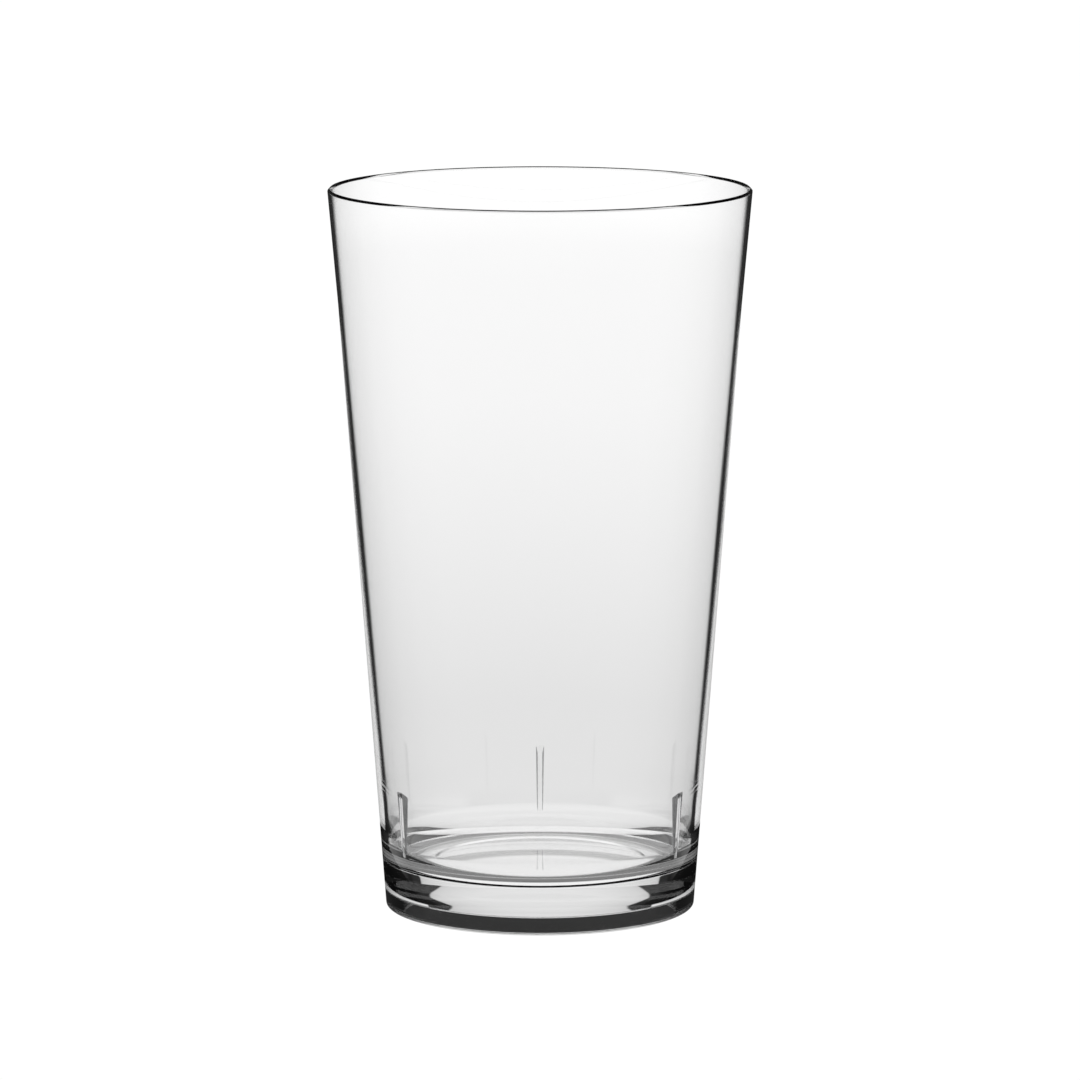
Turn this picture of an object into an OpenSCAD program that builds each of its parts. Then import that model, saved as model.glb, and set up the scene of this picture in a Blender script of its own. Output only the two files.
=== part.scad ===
// Pint tumbler: a clear, straight-tapered drinking vessel, moulded in one shot.
// The moulding is drawn as the sections that it is designed in, from the foot
// to the lip. Each section is a solid of its own and meets the next one face to
// face. The origin is the centre of the foot, on the surface that it stands on,
// and +Z is up.

/* [Overall size] */
// Height from the foot to the top of the lip
height = 151; // [126:1:182]
// Outside diameter at the lip, the widest point
top_d = 88; // [80:0.5:106]
// Outside diameter at the foot
base_d = 64.6; // [54:0.2:74]

/* [Wall] */
// Wall thickness at the lip
wall_top = 1.1; // [0.9:0.05:1.8]
// Wall thickness down at the floor
wall_base = 2; // [1.6:0.05:2.6]
// How much the wall opens out, beyond its taper, just under the lip
flare = 0.4; // [0:0.05:0.6]
// Length of wall over which it opens out
flare_len = 24; // [12:1:36]
// Height of the lip section
lip_h = 3; // [2.5:0.25:6]

/* [Base] */
// Height of the inside floor above the surface that it stands on
floor_h = 9.5; // [7.9:0.1:14]
// Radius between the inside floor and the wall
floor_fillet = 6; // [3:0.25:8]
// Height of the hollow under the floor
recess_h = 3.6; // [1.5:0.1:4.4]
// Width of the ring that it stands on
foot_w = 4; // [2.5:0.1:5]
// Radius on the outside edge of the foot
foot_edge = 0.6; // [0.2:0.1:1]

/* [Stacking ribs] */
// Number of ribs round the inside of the wall
rib_count = 3; // [3:1:6]
// Width of a rib, which has a round nose
rib_w = 2; // [1.4:0.1:2.8]
// How far a rib reaches in under the foot of a tumbler stacked on it
rib_bearing = 1.3; // [1:0.1:1.8]
// Slope of the top of a rib, down from the wall to its nose
rib_slope = 42; // [20:1:55]
// Clearance between that foot and the wall round it
stack_gap = 0.15; // [0.1:0.05:0.6]
// Least height of a rib above the heel
rib_least = 5; // [4:0.5:10]

/* [Hidden] */
$fn = 360;
rib_names = [for (i = [1:rib_count]) str("stack_rib_", i)];

clear = [0.86, 0.89, 0.91, 0.35];      // clear polycarbonate
foot_r = base_d / 2;
top_r = top_d / 2;
lip_mid = height - wall_top / 2;       // centre of the lip's round edge
lip_z = height - lip_h;                // where the lip section starts
flare_z = height - flare_len;          // where the wall starts to open out
taper = (top_r - flare - foot_r) / lip_mid;

thinning = (wall_base - wall_top) / (lip_mid - floor_h);

// Outside and inside radius of the wall at a height
function outer_r(z) =
    foot_r + taper * z + flare * max(0, (z - flare_z) / (lip_mid - flare_z));
function inner_r(z) = outer_r(z) - wall_base + thinning * (z - floor_h);

// The floor fillet is tangent to the floor and to the sloping inside wall
lean = atan(taper + thinning);
fillet_z = floor_h + floor_fillet;                   // centre of its arc
heel_z = fillet_z - floor_fillet * sin(lean);        // where it meets the wall
floor_r = inner_r(heel_z) - floor_fillet * cos(lean);
recess_r = foot_r - foot_w;

// A stacked tumbler comes to rest on the rib tops where its foot still clears
// the wall, so the ribs end at the height where the inside is just wide enough
stack_z = (stack_gap + wall_base + thinning * floor_h) / (taper + thinning);
rib_top = max(stack_z, heel_z + rib_least);
nose_r = foot_r - rib_bearing;                       // innermost line of a rib
rib_pitch = 360 / rib_count;
first_rib = 90;                                      // the back, at +Y

// Rounded edge that people drink from
module lip() {
    color(clear) rotate_extrude() {
        polygon([
            [inner_r(lip_z), lip_z], [outer_r(lip_z), lip_z],
            [top_r, lip_mid], [top_r - wall_top, lip_mid]
        ]);
        translate([top_r - wall_top / 2, lip_mid]) circle(d = wall_top);
    }
}

// Tapered wall from the heel up to the lip
module side_wall() {
    color(clear) rotate_extrude() polygon([
        [outer_r(heel_z), heel_z], [outer_r(flare_z), flare_z],
        [outer_r(lip_z), lip_z], [inner_r(lip_z), lip_z],
        [inner_r(flare_z), flare_z], [inner_r(heel_z), heel_z]
    ]);
}

// Thick corner between the wall and the floor, with the floor fillet inside it
module heel() {
    color(clear) rotate_extrude() difference() {
        polygon([
            [floor_r, recess_h], [outer_r(recess_h), recess_h],
            [outer_r(heel_z), heel_z], [floor_r, heel_z]
        ]);
        translate([floor_r, fillet_z]) circle(r = floor_fillet);
    }
}

// Flat floor inside the heel
module floor() {
    color(clear) translate([0, 0, recess_h])
        cylinder(h = floor_h - recess_h, r = floor_r);
}

// Ring that the tumbler stands on, round the hollow under the floor
module foot_ring() {
    edge_r = outer_r(foot_edge) - foot_edge;
    color(clear) rotate_extrude() {
        polygon([
            [recess_r, 0], [edge_r, 0], [edge_r, foot_edge],
            [outer_r(foot_edge), foot_edge], [outer_r(recess_h), recess_h],
            [recess_r, recess_h]
        ]);
        translate([edge_r, foot_edge]) circle(r = foot_edge);
    }
}

// Space inside the tumbler below the flare, which trims the ribs to the wall
module cavity() {
    rotate_extrude() {
        polygon([
            [0, floor_h], [floor_r, floor_h], [inner_r(heel_z), heel_z],
            [inner_r(flare_z), flare_z], [0, flare_z]
        ]);
        translate([floor_r, fillet_z]) circle(r = floor_fillet);
    }
}

// Upright rib with a round nose, under a round ridge that slopes down to it.
// The nose runs straight up, so the rib fades into the tapered wall lower down.
module stack_rib(i) {
    round_r = rib_w / 2;
    ridge_run = inner_r(rib_top) - nose_r - round_r;
    ridge_z = rib_top - ridge_run * tan(rib_slope) - round_r / cos(rib_slope);
    reach = top_r - nose_r;
    color(clear) intersection() {
        cavity();
        rotate(first_rib + i * rib_pitch) translate([nose_r + round_r, 0, 0])
            intersection() {
                translate([0, 0, floor_h]) {
                    cylinder(h = flare_z - floor_h, r = round_r);
                    translate([0, -round_r, 0]) cube([reach, rib_w, flare_z - floor_h]);
                }
                translate([0, 0, ridge_z]) rotate([0, -rib_slope, 0]) {
                    rotate([0, 90, 0]) cylinder(h = 4 * reach, r = round_r, center = true);
                    translate([-2 * reach, -round_r, -flare_z])
                        cube([4 * reach, rib_w, flare_z]);
                }
            }
    }
}

lip();
side_wall();
heel();
floor();
foot_ring();
for (i = [0:rib_count - 1])
    stack_rib(i);
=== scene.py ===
import math

import bpy
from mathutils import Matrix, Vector


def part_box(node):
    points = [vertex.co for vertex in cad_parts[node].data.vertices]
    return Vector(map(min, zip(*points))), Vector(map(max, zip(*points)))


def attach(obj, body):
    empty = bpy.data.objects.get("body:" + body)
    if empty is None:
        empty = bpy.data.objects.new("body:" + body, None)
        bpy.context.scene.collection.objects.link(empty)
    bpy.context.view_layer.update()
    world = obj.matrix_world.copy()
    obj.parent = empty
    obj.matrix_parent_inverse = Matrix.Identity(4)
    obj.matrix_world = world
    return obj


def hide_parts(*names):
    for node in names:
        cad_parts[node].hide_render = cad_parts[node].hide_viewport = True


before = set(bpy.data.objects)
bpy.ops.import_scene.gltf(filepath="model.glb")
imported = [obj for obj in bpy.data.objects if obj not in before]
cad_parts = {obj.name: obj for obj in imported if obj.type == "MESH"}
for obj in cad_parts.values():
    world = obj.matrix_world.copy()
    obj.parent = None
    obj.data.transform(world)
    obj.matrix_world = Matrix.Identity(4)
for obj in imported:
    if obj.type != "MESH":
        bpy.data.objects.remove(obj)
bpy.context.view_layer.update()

# Body of the tumbler: one moulding of clear polycarbonate, from the ring that it
# stands on to the rounded lip. Half of its upright section is drawn, the corners
# are rounded, and the outline is spun once round the axis like a turned part.
wall_at_lip = 0.0011
wall_at_floor = 0.0020
foot_ring_width = 0.0040
foot_edge = 0.0006
hollow_edge = 0.0003
floor_fillet = 0.0060
flare = 0.0004
flare_length = 0.024
ring_radius = 0.0224                    # a shallow round recess in the inside floor
ring_depth = 0.00035
lip_rounding = 0.499 * wall_at_lip      # the two roundings stop just short of meeting
true_arc = 0.5
near_chamfer = 0.30                     # leaves the lip a little pointed
turns = 288
long_wall = 0.050
wall_cuts = 15
touching = 1e-5
doubled = 2e-6
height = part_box("lip")[1].z
rim_radius = 0.0440
floor_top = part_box("floor")[1].z
hollow_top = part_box("floor")[0].z
foot_radius = 0.0323
lip_centre = height - wall_at_lip / 2
flare_start = height - flare_length
taper = (rim_radius - flare - foot_radius) / lip_centre
thinning = (wall_at_floor - wall_at_lip) / (lip_centre - floor_top)


def outside(z):
    """Outside radius of the wall at a height"""
    opened = max(0, (z - flare_start) / (lip_centre - flare_start))
    return foot_radius + taper * z + flare * opened


def inside(z):
    """Inside radius of the wall at a height"""
    return outside(z) - wall_at_floor + thinning * (z - floor_top)


def start_piece(name):
    """Names the primitive that was just added and opens it in edit mode"""
    piece = bpy.context.object
    piece.name = piece.data.name = name
    bpy.ops.object.mode_set(mode="EDIT")
    return piece


def pick(piece, kind, wanted):
    """In edit mode, selects only the vertices, edges or faces that wanted says yes to"""
    bpy.ops.mesh.select_mode(type=kind)
    bpy.ops.mesh.select_all(action="DESELECT")
    bpy.ops.object.mode_set(mode="OBJECT")
    parts = {
        "VERT": piece.data.vertices, "EDGE": piece.data.edges, "FACE": piece.data.polygons}
    for part in parts[kind]:
        part.select = wanted(part)
    bpy.ops.object.mode_set(mode="EDIT")


def near(spot):
    """A test for pick: is this vertex at that spot of the section?"""
    return lambda vertex: (vertex.co - Vector((spot[0], 0, spot[1]))).length < touching


def ends(piece, edge):
    """Where the two ends of an edge are"""
    return [piece.data.vertices[v].co for v in edge.vertices]


def length(piece, edge):
    """How long an edge is"""
    start, end = ends(piece, edge)
    return (end - start).length


hollow_radius = foot_radius - foot_ring_width
foot_outer = (outside(0), 0)
foot_inner = (hollow_radius, 0)
hollow_corner = (hollow_radius, hollow_top)
floor_corner = (inside(floor_top), floor_top)
lip_inner = (rim_radius - wall_at_lip, height)
lip_outer = (rim_radius, height)
section = [
    (0, hollow_top), hollow_corner, foot_inner, foot_outer,
    (outside(flare_start), flare_start), lip_outer, lip_inner,
    (inside(flare_start), flare_start), floor_corner, (ring_radius, floor_top),
    (ring_radius - ring_depth, floor_top - ring_depth), (0, floor_top - ring_depth),
]

bpy.ops.object.select_all(action="DESELECT")
bpy.ops.mesh.primitive_plane_add(size=wall_at_floor, location=(0, 0, hollow_top))
tumbler = start_piece("tumbler")
bpy.ops.mesh.merge(type="CENTER")
for (x, z), (next_x, next_z) in zip(section, section[1:]):
    bpy.ops.mesh.extrude_vertices_move(
        TRANSFORM_OT_translate={"value": (next_x - x, 0, next_z - z)})
bpy.ops.object.mode_set(mode="OBJECT")
bpy.ops.object.transform_apply(location=True)
bpy.ops.object.mode_set(mode="EDIT")
bpy.ops.mesh.select_all(action="SELECT")
bpy.ops.mesh.edge_face_add()

# Each corner, how far its rounding reaches along its sides, in how many steps, and
# the shape of the rounding
wall_lean = math.atan(taper + thinning)
fillet_reach = floor_fillet * math.tan(math.radians(45) - wall_lean / 2)
for corner, reach, steps, shape in [
    (floor_corner, fillet_reach, 20, true_arc),
    (foot_outer, foot_edge, 6, true_arc),
    (foot_inner, hollow_edge, 4, true_arc),
    (hollow_corner, hollow_edge, 4, true_arc),
    (lip_outer, lip_rounding, 8, near_chamfer),
    (lip_inner, lip_rounding, 8, near_chamfer),
]:
    pick(tumbler, "VERT", near(corner))
    bpy.ops.mesh.bevel(offset=reach, segments=steps, profile=shape, affect="VERTICES")

bpy.ops.mesh.select_mode(type="FACE")
bpy.ops.mesh.select_all(action="SELECT")
bpy.ops.mesh.delete(type="ONLY_FACE")
# The long walls are cut into short rings, so that they shade evenly once spun
pick(tumbler, "EDGE", lambda edge: length(tumbler, edge) > long_wall)
bpy.ops.mesh.subdivide(number_cuts=wall_cuts)
# The line that closed the outline along the axis goes before it is spun
pick(tumbler, "EDGE", lambda edge: all(
    abs(end.x) < touching for end in ends(tumbler, edge)))
bpy.ops.mesh.delete(type="EDGE_FACE")
bpy.ops.mesh.select_mode(type="VERT")
bpy.ops.mesh.select_all(action="SELECT")
bpy.ops.mesh.spin(steps=turns, angle=math.tau, center=(0, 0, 0), axis=(0, 0, 1))
bpy.ops.mesh.select_all(action="SELECT")
bpy.ops.mesh.remove_doubles(threshold=doubled)
bpy.ops.mesh.normals_make_consistent(inside=False)
bpy.ops.object.mode_set(mode="OBJECT")


# Stacking ribs: three short upright ribs on the inside of the wall, moulded in one
# with it, that hold up the foot of the next tumbler in a stack. Each narrows to a
# flat nose that runs straight up while the wall leans away, and slopes at its top.
rib_count = 3
first_rib = 90                          # degrees round from the right: the back
rib_width = 0.00196
rib_nose_width = 0.0011
rib_edge = 0.00018
rib_edge_steps = 4
rib_bearing = 0.0013
rib_slope = math.radians(42)
rib_sunk = 0.0005                       # into the floor, so that the two join
rib_cover = 0.0002                      # plastic left between a rib and the outside
smooth_below = math.radians(35)
rib_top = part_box("stack_rib_1")[1].z
rib_foot = floor_top - rib_sunk
rib_nose = foot_radius - rib_bearing
rib_back = outside(rib_foot) - rib_cover
uphill = Vector((-math.sin(rib_slope), 0, math.cos(rib_slope)))

for i in range(rib_count):
    bpy.ops.object.select_all(action="DESELECT")
    bpy.ops.mesh.primitive_cube_add(
        size=1,
        location=((rib_nose + rib_back) / 2, 0, (rib_foot + rib_top) / 2),
        scale=(rib_back - rib_nose, rib_width, rib_top - rib_foot))
    bpy.ops.object.transform_apply(location=True, rotation=True, scale=True)
    rib = start_piece("stacking_rib")
    pick(rib, "VERT", lambda vertex: abs(vertex.co.x - rib_nose) < touching)
    bpy.ops.transform.resize(value=(1, rib_nose_width / rib_width, 1))
    # The two upright edges of the nose
    pick(rib, "EDGE", lambda edge: length(rib, edge) > rib_width and all(
        abs(end.x - rib_nose) < touching for end in ends(rib, edge)))
    bpy.ops.mesh.bevel(offset=rib_edge, segments=rib_edge_steps, affect="EDGES")
    bpy.ops.mesh.select_all(action="SELECT")
    bpy.ops.mesh.bisect(
        plane_co=(inside(rib_top), 0, rib_top), plane_no=uphill,
        use_fill=True, clear_outer=True)
    pick(rib, "FACE", lambda face: face.normal.dot(uphill) > 0.9)
    bpy.ops.mesh.bevel(offset=rib_edge, segments=rib_edge_steps, affect="EDGES")
    bpy.ops.object.mode_set(mode="OBJECT")
    rib.rotation_euler.z = math.radians(first_rib + i * 360 / rib_count)
    bpy.ops.object.transform_apply(location=False, rotation=True, scale=False)

    bpy.ops.object.select_all(action="DESELECT")
    bpy.context.view_layer.objects.active = tumbler
    tumbler.select_set(True)
    joint = tumbler.modifiers.new("rib joint", "BOOLEAN")
    joint.operation = "UNION"
    joint.solver = "EXACT"
    joint.object = rib
    bpy.ops.object.modifier_apply(modifier=joint.name)
    bpy.data.objects.remove(rib)

bpy.ops.object.shade_smooth_by_angle(angle=smooth_below)
evened = tumbler.modifiers.new("evened shading", "WEIGHTED_NORMAL")
evened.keep_sharp = True
bpy.ops.object.modifier_apply(modifier=evened.name)
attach(tumbler, "root")
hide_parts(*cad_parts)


# Clear polycarbonate, moulded against a polished steel tool. It is water clear, bends
# light a little more than glass does, and shows a faint ripple where it flowed.
plastic_colour = "#FDFDFD"
ripples_per_metre = 45                  # where the melt flowed, about 22 mm apart
scuffs_per_metre = 260                  # patches rubbed in washing, about 4 mm across


def to_linear(hex_colour):
    """Linear RGBA of an sRGB hex colour such as "#F4F6F7\""""
    channels = [int(hex_colour[i:i + 2], 16) / 255 for i in (1, 3, 5)]
    return [c / 12.92 if c <= 0.04045 else ((c + 0.055) / 1.055) ** 2.4 for c in channels] + [1]


def add_node(tree, kind, settings={}, inputs={}, links={}, stops=()):
    """Adds a node: its settings, the values of its inputs, what is linked to them, and
    for a ramp its stops, each a place and a grey level"""
    node = tree.nodes.new(kind)
    for name, value in settings.items():
        setattr(node, name, value)
    for name, value in inputs.items():
        node.inputs[name].default_value = value
    for name, output in links.items():
        tree.links.new(output, node.inputs[name])
    for i, (at, grey) in enumerate(stops):
        marks = node.color_ramp.elements
        if i == 0:
            marks.remove(marks[-1])
        mark = marks.new(at) if i else marks[0]
        mark.position = at
        mark.color = (grey, grey, grey, 1)
    return node


plastic = bpy.data.materials.new("clear polycarbonate, polished moulding")
plastic.use_nodes = True
tree = plastic.node_tree
tree.nodes.clear()
place = add_node(tree, "ShaderNodeTexCoord")
flow = add_node(
    tree, "ShaderNodeTexNoise", inputs={"Scale": ripples_per_metre, "Detail": 1.5},
    links={"Vector": place.outputs["Object"]})
ripple = add_node(
    tree, "ShaderNodeBump", inputs={"Strength": 0.02, "Distance": 0.0002},
    links={"Height": flow.outputs["Fac"]})
wear = add_node(
    tree, "ShaderNodeTexNoise", inputs={"Scale": scuffs_per_metre, "Detail": 4},
    links={"Vector": place.outputs["Object"]})
worn = add_node(
    tree, "ShaderNodeMapRange",
    inputs={"From Min": 0.35, "From Max": 0.75, "To Min": 0.004, "To Max": 0.03},
    links={"Value": wear.outputs["Fac"]})
shader = add_node(
    tree, "ShaderNodeBsdfPrincipled",
    inputs={"Base Color": to_linear(plastic_colour), "IOR": 1.58, "Transmission Weight": 1},
    links={"Roughness": worn.outputs["Result"], "Normal": ripple.outputs["Normal"]})
add_node(tree, "ShaderNodeOutputMaterial", links={"Surface": shader.outputs["BSDF"]})
tumbler.data.materials.clear()
tumbler.data.materials.append(plastic)
for face in tumbler.data.polygons:
    face.material_index = 0

# Rib flanks: the same plastic, with painted shade: a dark tint in its colour. A real flank
# is clear, and looks dark because it bends the light away. Under this screen a clear one
# looks far too faint, so the painted shade stands in for that.
flank_painted_shade_colour = "#3A3C3E"
flank_turn = 0.6                        # share of a flank's normal that points sideways
flank = plastic.copy()
flank.name = "clear polycarbonate, rib flank with painted shade"
for node in flank.node_tree.nodes:
    if node.type == "BSDF_PRINCIPLED":
        node.inputs["Base Color"].default_value = to_linear(flank_painted_shade_colour)
tumbler.data.materials.append(flank)
# Faces on the rib flanks get the painted shade
for face in tumbler.data.polygons:
    middle, normal = face.center, face.normal
    radius = math.hypot(middle.x, middle.y)
    sideways = abs(normal.y * middle.x - normal.x * middle.y)
    if floor_top < middle.z < rib_top and radius < inside(middle.z):
        face.material_index = int(sideways > flank_turn * radius)


# Light screen: a round lamp that stands close about the tumbler, with a grid over it, so
# that it shines only towards the tumbler's middle. Clear plastic shows by what it bends
# into view: its walls look bright and its edges dark. The camera can't see the screen.
screen_height = 0.170
screen_foot = 0.0400
knee_radius, knee_height = 0.0475, 0.020
screen_top = 0.0600
screen_sides = 128
screen_smooth_below = math.radians(10)
bpy.ops.object.select_all(action="DESELECT")
bpy.ops.mesh.primitive_circle_add(vertices=screen_sides, radius=screen_foot)
screen = start_piece("light_screen")
bpy.ops.mesh.select_all(action="SELECT")
bpy.ops.mesh.extrude_edges_move(TRANSFORM_OT_translate={"value": (0, 0, knee_height)})
bpy.ops.transform.resize(value=(knee_radius / screen_foot, knee_radius / screen_foot, 1))
bpy.ops.mesh.extrude_edges_move(
    TRANSFORM_OT_translate={"value": (0, 0, screen_height - knee_height)})
bpy.ops.transform.resize(value=(screen_top / knee_radius, screen_top / knee_radius, 1))
bpy.ops.object.mode_set(mode="OBJECT")
bpy.ops.object.shade_smooth_by_angle(angle=screen_smooth_below)

gridded = bpy.data.materials.new("light screen with a grid")
gridded.use_nodes = True
tree = gridded.node_tree
tree.nodes.clear()
place = add_node(tree, "ShaderNodeTexCoord")
parts = add_node(
    tree, "ShaderNodeSeparateXYZ", links={"Vector": place.outputs["Object"]}).outputs
up = add_node(
    tree, "ShaderNodeMath", {"operation": "DIVIDE"}, {1: screen_height},
    {0: parts["Z"]}).outputs[0]
slant = add_node(tree, "ShaderNodeLayerWeight", inputs={"Blend": 0.5})
head_on = add_node(
    tree, "ShaderNodeMath", {"operation": "SUBTRACT"}, {0: 1},
    {1: slant.outputs["Facing"]}).outputs[0]

# How bright the lamp is at each height, from its foot at 0 to its top at 1
level = add_node(tree, "ShaderNodeValToRGB", links={"Fac": up}, stops=[
    (0.060, 0.87), (0.088, 0.79), (0.20, 0.79), (0.32, 0.845), (0.45, 0.90),
    (0.58, 0.95), (0.70, 0.97), (0.78, 0.98), (0.82, 1.04)]).outputs["Color"]

# How squarely a ray has to meet it before the grid lets light through. The steps low
# down follow the heel, where thick plastic turns rays further
cut = add_node(tree, "ShaderNodeValToRGB", links={"Fac": up}, stops=[
    (0.0195, 0.78), (0.038, 0.73), (0.0535, 0.699), (0.060, 0.705), (0.065, 0.755),
    (0.072, 0.755), (0.080, 0.728), (0.088, 0.730), (0.100, 0.738), (0.117, 0.745),
    (0.119, 0.724), (0.21, 0.716), (0.47, 0.700), (0.71, 0.6835),
    (1.0, 0.66)]).outputs["Color"]
past = add_node(
    tree, "ShaderNodeMath", {"operation": "SUBTRACT"},
    links={0: head_on, 1: cut}).outputs[0]
grid_gain, grid_start = 2, 0.2
through = add_node(
    tree, "ShaderNodeMath", {"operation": "MULTIPLY_ADD"}, {1: grid_gain, 2: grid_start},
    {0: past}).outputs[0]
grid = add_node(tree, "ShaderNodeValToRGB", links={"Fac": through}, stops=[
    (0.0, 0.005), (0.12, 0.010), (0.15, 0.03), (0.195, 0.03), (0.205, 0.72),
    (0.24, 0.80), (0.30, 0.86), (0.38, 0.93), (0.50, 0.98),
    (0.62, 1.0)]).outputs["Color"]

# Past the outermost line of the wall it shines again, as the open room does
brink_sharpness, open_level = 250, 0.95
brink = add_node(tree, "ShaderNodeValToRGB", links={"Fac": up}, stops=[
    (0.055, 0.0), (0.070, 0.701), (0.088, 0.7145), (0.100, 0.7225), (0.117, 0.7295),
    (0.119, 0.710), (0.176, 0.707), (0.21, 0.7035), (0.26, 0.699), (0.45, 0.684),
    (0.68, 0.673), (0.80, 0.655), (1.0, 0.5)]).outputs["Color"]
outward = add_node(
    tree, "ShaderNodeMath", {"operation": "SUBTRACT"},
    links={0: brink, 1: head_on}).outputs[0]
beyond = add_node(
    tree, "ShaderNodeMath", {"operation": "MULTIPLY", "use_clamp": True},
    {1: brink_sharpness}, {0: outward}).outputs[0]
opened = add_node(
    tree, "ShaderNodeMath", {"operation": "MULTIPLY"}, {1: open_level},
    {0: beyond}).outputs[0]
shining = add_node(
    tree, "ShaderNodeMath", {"operation": "MAXIMUM"}, links={0: grid, 1: opened}).outputs[0]

# The foot of the screen is masked in front of the tumbler
mask_start, mask_full = -0.004, -0.014
in_front = add_node(
    tree, "ShaderNodeMapRange", inputs={"From Min": mask_start, "From Max": mask_full},
    links={"Value": parts["Y"]})
low = add_node(
    tree, "ShaderNodeValToRGB", links={"Fac": up}, stops=[(0.045, 0.93), (0.07, 0.0)])
mask = add_node(
    tree, "ShaderNodeMath", {"operation": "MULTIPLY"},
    links={0: low.outputs["Color"], 1: in_front.outputs["Result"]}).outputs[0]
unmasked = add_node(
    tree, "ShaderNodeMath", {"operation": "SUBTRACT"}, {0: 1}, {1: mask}).outputs[0]
left = add_node(
    tree, "ShaderNodeMath", {"operation": "MULTIPLY"},
    links={0: shining, 1: unmasked}).outputs[0]
strength = add_node(
    tree, "ShaderNodeMath", {"operation": "MULTIPLY"}, links={0: level, 1: left})
glow = add_node(tree, "ShaderNodeEmission", links={"Strength": strength.outputs[0]})
add_node(tree, "ShaderNodeOutputMaterial", links={"Surface": glow.outputs[0]})
screen.data.materials.append(gridded)
screen.visible_camera = False


# Floor: a plain white sweep. The camera sees it white all over. Rays that come through
# the plastic find painted shade on it under the foot and, but for the back, all round the foot.
floor_size = 12
plain_white = 1.02
lit_floor = 0.98
painted_shade_level = 0.034
ring_painted_shade = 0.8
shade_reach = 0.050                     # the ramps across the floor run out to here
bpy.ops.object.select_all(action="DESELECT")
bpy.ops.mesh.primitive_plane_add(size=floor_size)
white_floor = bpy.context.object
white_floor.name = white_floor.data.name = "white_floor"
sweep = bpy.data.materials.new("white floor")
sweep.use_nodes = True
tree = sweep.node_tree
tree.nodes.clear()
place = add_node(tree, "ShaderNodeTexCoord")
reach = add_node(
    tree, "ShaderNodeVectorMath", {"operation": "LENGTH"},
    links={0: place.outputs["Object"]})
across = add_node(
    tree, "ShaderNodeMath", {"operation": "DIVIDE"}, {1: shade_reach},
    {0: reach.outputs["Value"]}).outputs[0]

# Painted shade where the foot ring stands
by_place = add_node(
    tree, "ShaderNodeValToRGB", links={"Fac": across},
    stops=[(0.50, 0.0), (0.545, 1.0), (0.63, 1.0), (0.66, 0.0)])
under_ring = add_node(
    tree, "ShaderNodeMath", {"operation": "MULTIPLY"}, {1: ring_painted_shade},
    {0: by_place.outputs["Color"]}).outputs[0]

# Inside the ring, rays that graze the floor find painted shade and steep ones find it lit
grazing_span = 0.5
slant = add_node(tree, "ShaderNodeLayerWeight", inputs={"Blend": 0.5})
steep = add_node(
    tree, "ShaderNodeMath", {"operation": "SUBTRACT"}, {0: 1},
    {1: slant.outputs["Facing"]}).outputs[0]
steepness = add_node(
    tree, "ShaderNodeMath", {"operation": "DIVIDE"}, {1: grazing_span},
    {0: steep}).outputs[0]
grazing = add_node(
    tree, "ShaderNodeValToRGB", links={"Fac": steepness}, stops=[(0.37, 1.0), (0.40, 0.0)])
inside_ring = add_node(
    tree, "ShaderNodeValToRGB", links={"Fac": across}, stops=[(0.60, 1.0), (0.63, 0.0)])
hidden = add_node(
    tree, "ShaderNodeMath", {"operation": "MULTIPLY"},
    links={0: grazing.outputs["Color"], 1: inside_ring.outputs["Color"]}).outputs[0]
under_foot = add_node(
    tree, "ShaderNodeMath", {"operation": "MAXIMUM"},
    links={0: hidden, 1: under_ring}).outputs[0]
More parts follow.
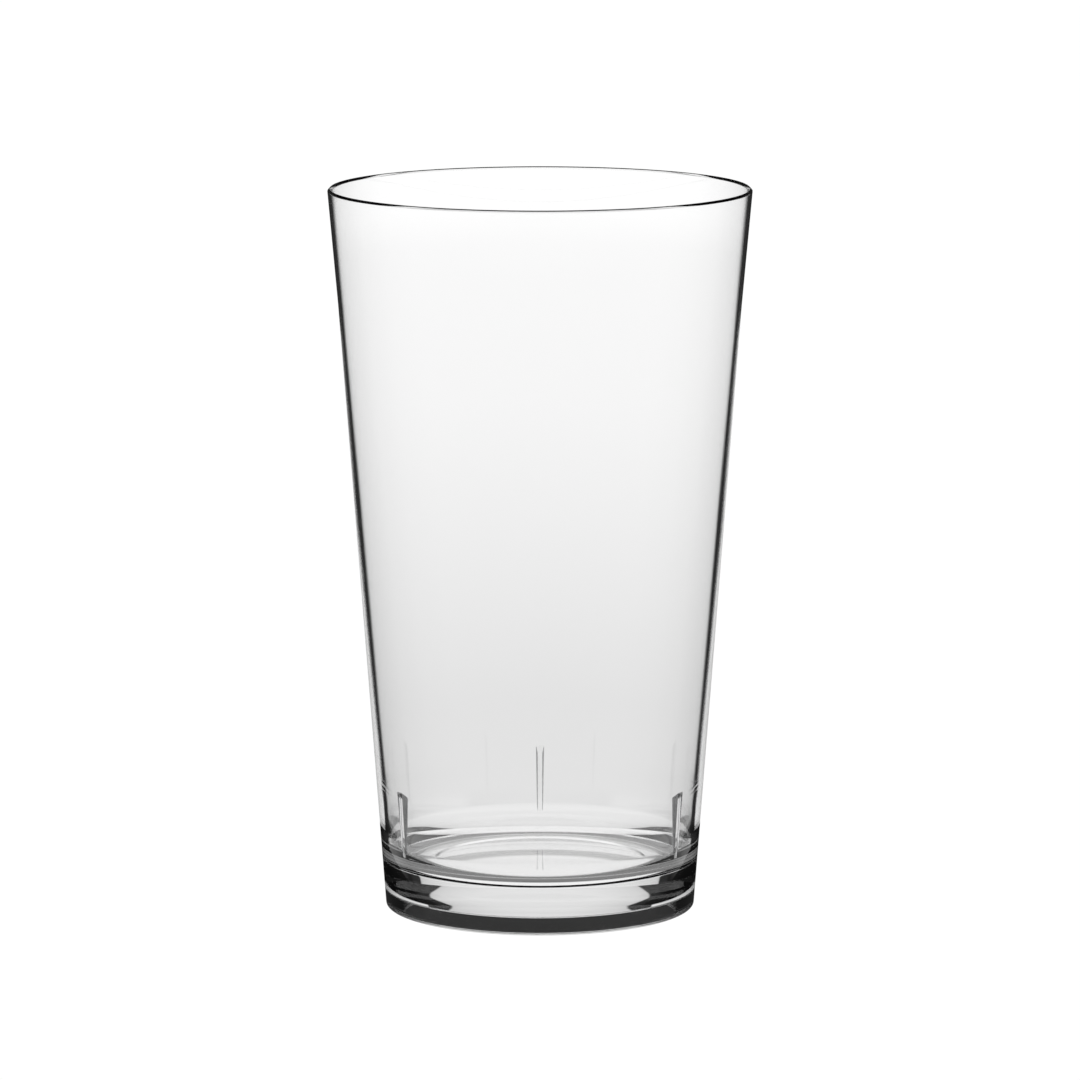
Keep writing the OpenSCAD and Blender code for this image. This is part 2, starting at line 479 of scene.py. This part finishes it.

# Outside the ring painted shade lies all round but for the back
shade_start, shade_full = 0.030, 0.010
parts = add_node(tree, "ShaderNodeSeparateXYZ", links={"Vector": place.outputs["Object"]})
in_front = add_node(
    tree, "ShaderNodeMapRange", inputs={"From Min": shade_start, "From Max": shade_full},
    links={"Value": parts.outputs["Y"]})
outer_ring = add_node(
    tree, "ShaderNodeValToRGB", links={"Fac": across}, stops=[(0.63, 0.0), (0.655, 1.0)])
beside = add_node(
    tree, "ShaderNodeMath", {"operation": "MULTIPLY"},
    links={0: outer_ring.outputs["Color"], 1: in_front.outputs["Result"]}).outputs[0]
shade = add_node(
    tree, "ShaderNodeMath", {"operation": "MAXIMUM"},
    links={0: under_foot, 1: beside}).outputs[0]
# How brightly the floor glows to those rays: darker where the painted shade lies
level = add_node(
    tree, "ShaderNodeValToRGB", links={"Fac": shade},
    stops=[(0.0, lit_floor), (1.0, painted_shade_level)])
glow = add_node(tree, "ShaderNodeEmission", links={"Strength": level.outputs["Color"]})
white = add_node(tree, "ShaderNodeEmission", inputs={"Strength": plain_white})
ray = add_node(tree, "ShaderNodeLightPath")
mixed = add_node(
    tree, "ShaderNodeMixShader",
    links={0: ray.outputs["Is Camera Ray"], 1: glow.outputs[0], 2: white.outputs[0]})
add_node(tree, "ShaderNodeOutputMaterial", links={"Surface": mixed.outputs[0]})
white_floor.data.materials.append(sweep)


# Room: plain white to the camera, and dark to every other ray, so that only the screen
# and the floor light the plastic.
room_level = 0.03
world = bpy.data.worlds.new("studio")
bpy.context.scene.world = world
world.use_nodes = True
tree = world.node_tree
tree.nodes.clear()
room_white = to_linear("#FFFFFF")
room = add_node(
    tree, "ShaderNodeBackground", inputs={"Color": room_white, "Strength": room_level})
seen = add_node(
    tree, "ShaderNodeBackground", inputs={"Color": room_white, "Strength": plain_white})
ray = add_node(tree, "ShaderNodeLightPath")
mixed = add_node(
    tree, "ShaderNodeMixShader",
    links={0: ray.outputs["Is Camera Ray"], 1: room.outputs[0], 2: seen.outputs[0]})
add_node(tree, "ShaderNodeOutputWorld", links={"Surface": mixed.outputs[0]})


# Camera: a long lens that stands well back, so that the sides hardly converge, and a
# little above the lip, so that the mouth shows as a thin oval.
camera_place = (0, -1.3364, 0.2925)
camera_tilt = 9.15                      # degrees down from level
camera_data = bpy.data.cameras.new("camera")
camera_data.sensor_width = 36
camera_data.lens = 216.4
camera_data.clip_end = 30
camera = bpy.data.objects.new("camera", camera_data)
bpy.context.scene.collection.objects.link(camera)
camera.location = camera_place
camera.rotation_euler = (math.radians(90 - camera_tilt), 0, 0)
bpy.context.scene.camera = camera
bpy.context.scene.view_settings.view_transform = "Standard"
